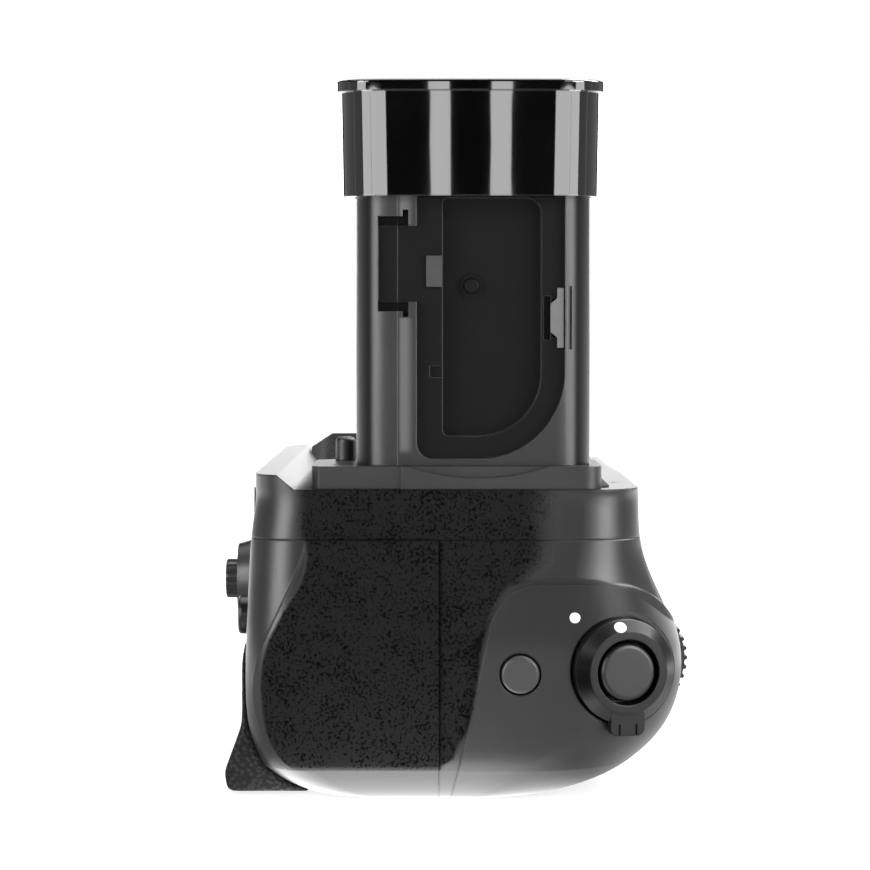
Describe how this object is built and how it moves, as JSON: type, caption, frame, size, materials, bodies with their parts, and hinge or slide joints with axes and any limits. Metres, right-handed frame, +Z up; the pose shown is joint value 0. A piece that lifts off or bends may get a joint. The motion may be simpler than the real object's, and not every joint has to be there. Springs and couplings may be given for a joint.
{
  "type": "camera battery grip",
  "caption": "Vertical battery grip with battery-shaped stalk, contact cap, release button in a lock ring, dials, joystick, camera screw and sliding tray.",
  "frame": {"origin": "mouth of the tripod socket, in the flat base", "axes": "+X along the grip towards its release end, +Y towards the camera's front, +Z up into the camera"},
  "size_m": [0.1383, 0.081, 0.1219],
  "materials": {
    "shell": "fine leather-like grain, satin at the nose",
    "stalk": "satin black plastic",
    "gloss": "glossy black plastic",
    "control": "matt black plastic",
    "rubber": "textured black rubber",
    "steel": "turned and plated steel",
    "frame": "bead-blasted sheet",
    "moulding": "plain black moulding",
    "clip": "light grey plastic",
    "contact": "gold-plated contact",
    "board": "green solder mask"
  },
  "bodies": {
    "grip_body": {"top_shell": "shell", "rear_shell": "shell", "front_shell": "shell", "stalk_base": "shell", "stalk_case": "stalk", "stalk_side_cover": "stalk", "key_tab": "stalk", "joystick_collar": "control", "locating_post": "control", "thumb_rubber": "rubber", "front_rubber": "rubber", "top_liner": "rubber", "wheel_axle": "steel", "plate_screws": "steel", "flange_screws": "steel", "chassis_screws": "steel", "base_screws": "steel", "board_screws": "steel", "stalk_bracket": "steel", "stalk_pin": "steel", "tripod_bush": "steel", "chassis": "frame", "base_plate": "frame", "shutter_carrier": "moulding", "fn_carrier": "moulding", "af_carrier": "moulding", "shutter_switch": "moulding", "fn_switch": "moulding", "af_switch": "moulding", "joystick_base": "moulding", "front_dial_bracket": "moulding", "rear_dial_bracket": "moulding", "contact_block": "moulding", "terminal_block": "moulding", "board_chips": "moulding", "contact_blades": "contact", "terminal_blades": "contact", "main_board": "board"},
    "contact_cap": {"contact_cap": "gloss"},
    "lock_ring": {"lock_ring": "control"},
    "shutter_button": {"shutter_button": "gloss"},
    "fn_button": {"fn_button": "gloss"},
    "af_button": {"af_button": "gloss"},
    "joystick_yoke": {"joystick_yoke": "moulding"},
    "joystick_stem": {"joystick_stem": "moulding"},
    "joystick_cap": {"joystick_cap": "control"},
    "front_dial": {"front_dial": "control", "front_dial_axle": "steel"},
    "rear_dial": {"rear_dial": "control", "rear_dial_axle": "steel"},
    "attachment_wheel": {"attachment_wheel": "control"},
    "camera_screw": {"camera_screw": "steel", "screw_pinion": "steel"},
    "battery_tray": {"battery_tray": "moulding", "tray_door": "shell"},
    "tray_latch": {"latch_knob": "control", "latch_cam": "steel"},
    "door_clip": {"door_clip": "clip"}
  },
  "joints": [
    {"name": "cap_lift", "type": "slide", "parent": "grip_body", "child": "contact_cap", "axis": [0, 0, 1], "range_m": [0, 0.025]},
    {"name": "shutter_press", "type": "slide", "parent": "grip_body", "child": "shutter_button", "axis": [-0.9511, -0.309, 0], "range_m": [0, 0.0012], "stiffness_N_per_m": 800},
    {"name": "lock_ring_turn", "type": "hinge", "parent": "grip_body", "child": "lock_ring", "pos_m": [0.0663, 0.0318, 0.0222], "axis": [0.9511, 0.309, 0], "range_deg": [0, 42]},
    {"name": "fn_press", "type": "slide", "parent": "grip_body", "child": "fn_button", "axis": [-1, 0, 0], "range_m": [0, 0.0008], "stiffness_N_per_m": 900},
    {"name": "af_press", "type": "slide", "parent": "grip_body", "child": "af_button", "axis": [0, 1, 0], "range_m": [0, 0.0008], "stiffness_N_per_m": 900},
    {"name": "joystick_tilt_up", "type": "hinge", "parent": "grip_body", "child": "joystick_yoke", "pos_m": [0.035, -0.0276, 0.0352], "axis": [1, 0, 0], "range_deg": [-6, 6], "stiffness_Nm_per_rad": 0.05},
    {"name": "joystick_tilt_side", "type": "hinge", "parent": "joystick_yoke", "child": "joystick_stem", "pos_m": [0.035, -0.0276, 0.0352], "axis": [0, 0, 1], "range_deg": [-6, 6], "stiffness_Nm_per_rad": 0.05},
    {"name": "joystick_press", "type": "slide", "parent": "joystick_stem", "child": "joystick_cap", "axis": [0, 1, 0], "range_m": [0, 0.0005], "stiffness_N_per_m": 900},
    {"name": "front_dial_spin", "type": "hinge", "parent": "grip_body", "child": "front_dial", "pos_m": [0.0435, 0.0342, 0.0224], "axis": [1, 0, 0], "continuous": true},
    {"name": "rear_dial_spin", "type": "hinge", "parent": "grip_body", "child": "rear_dial", "pos_m": [0.0412, -0.0241, 0.0158], "axis": [1, 0, 0], "continuous": true},
    {"name": "wheel_spin", "type": "hinge", "parent": "grip_body", "child": "attachment_wheel", "pos_m": [0.009, -0.01875, 0.0475], "axis": [0, 0, 1], "continuous": true},
    {"name": "camera_screw_spin", "type": "hinge", "parent": "grip_body", "child": "camera_screw", "pos_m": [0, 0, 0.05], "axis": [0, 0, 1], "continuous": true},
    {"name": "tray_slide", "type": "slide", "parent": "grip_body", "child": "battery_tray", "axis": [-1, 0, 0], "range_m": [0, 0.066]},
    {"name": "tray_latch_turn", "type": "hinge", "parent": "battery_tray", "child": "tray_latch", "pos_m": [-0.066, 0.0007, 0.033], "axis": [1, 0, 0], "range_deg": [0, 90]},
    {"name": "clip_slide", "type": "slide", "parent": "grip_body", "child": "door_clip", "axis": [0, 1, 0], "range_m": [0, 0.001], "stiffness_N_per_m": 300}
  ],
  "couplings": [
    {"joint": "camera_screw_spin", "follows": "wheel_spin", "ratio": -2.25}
  ]
}
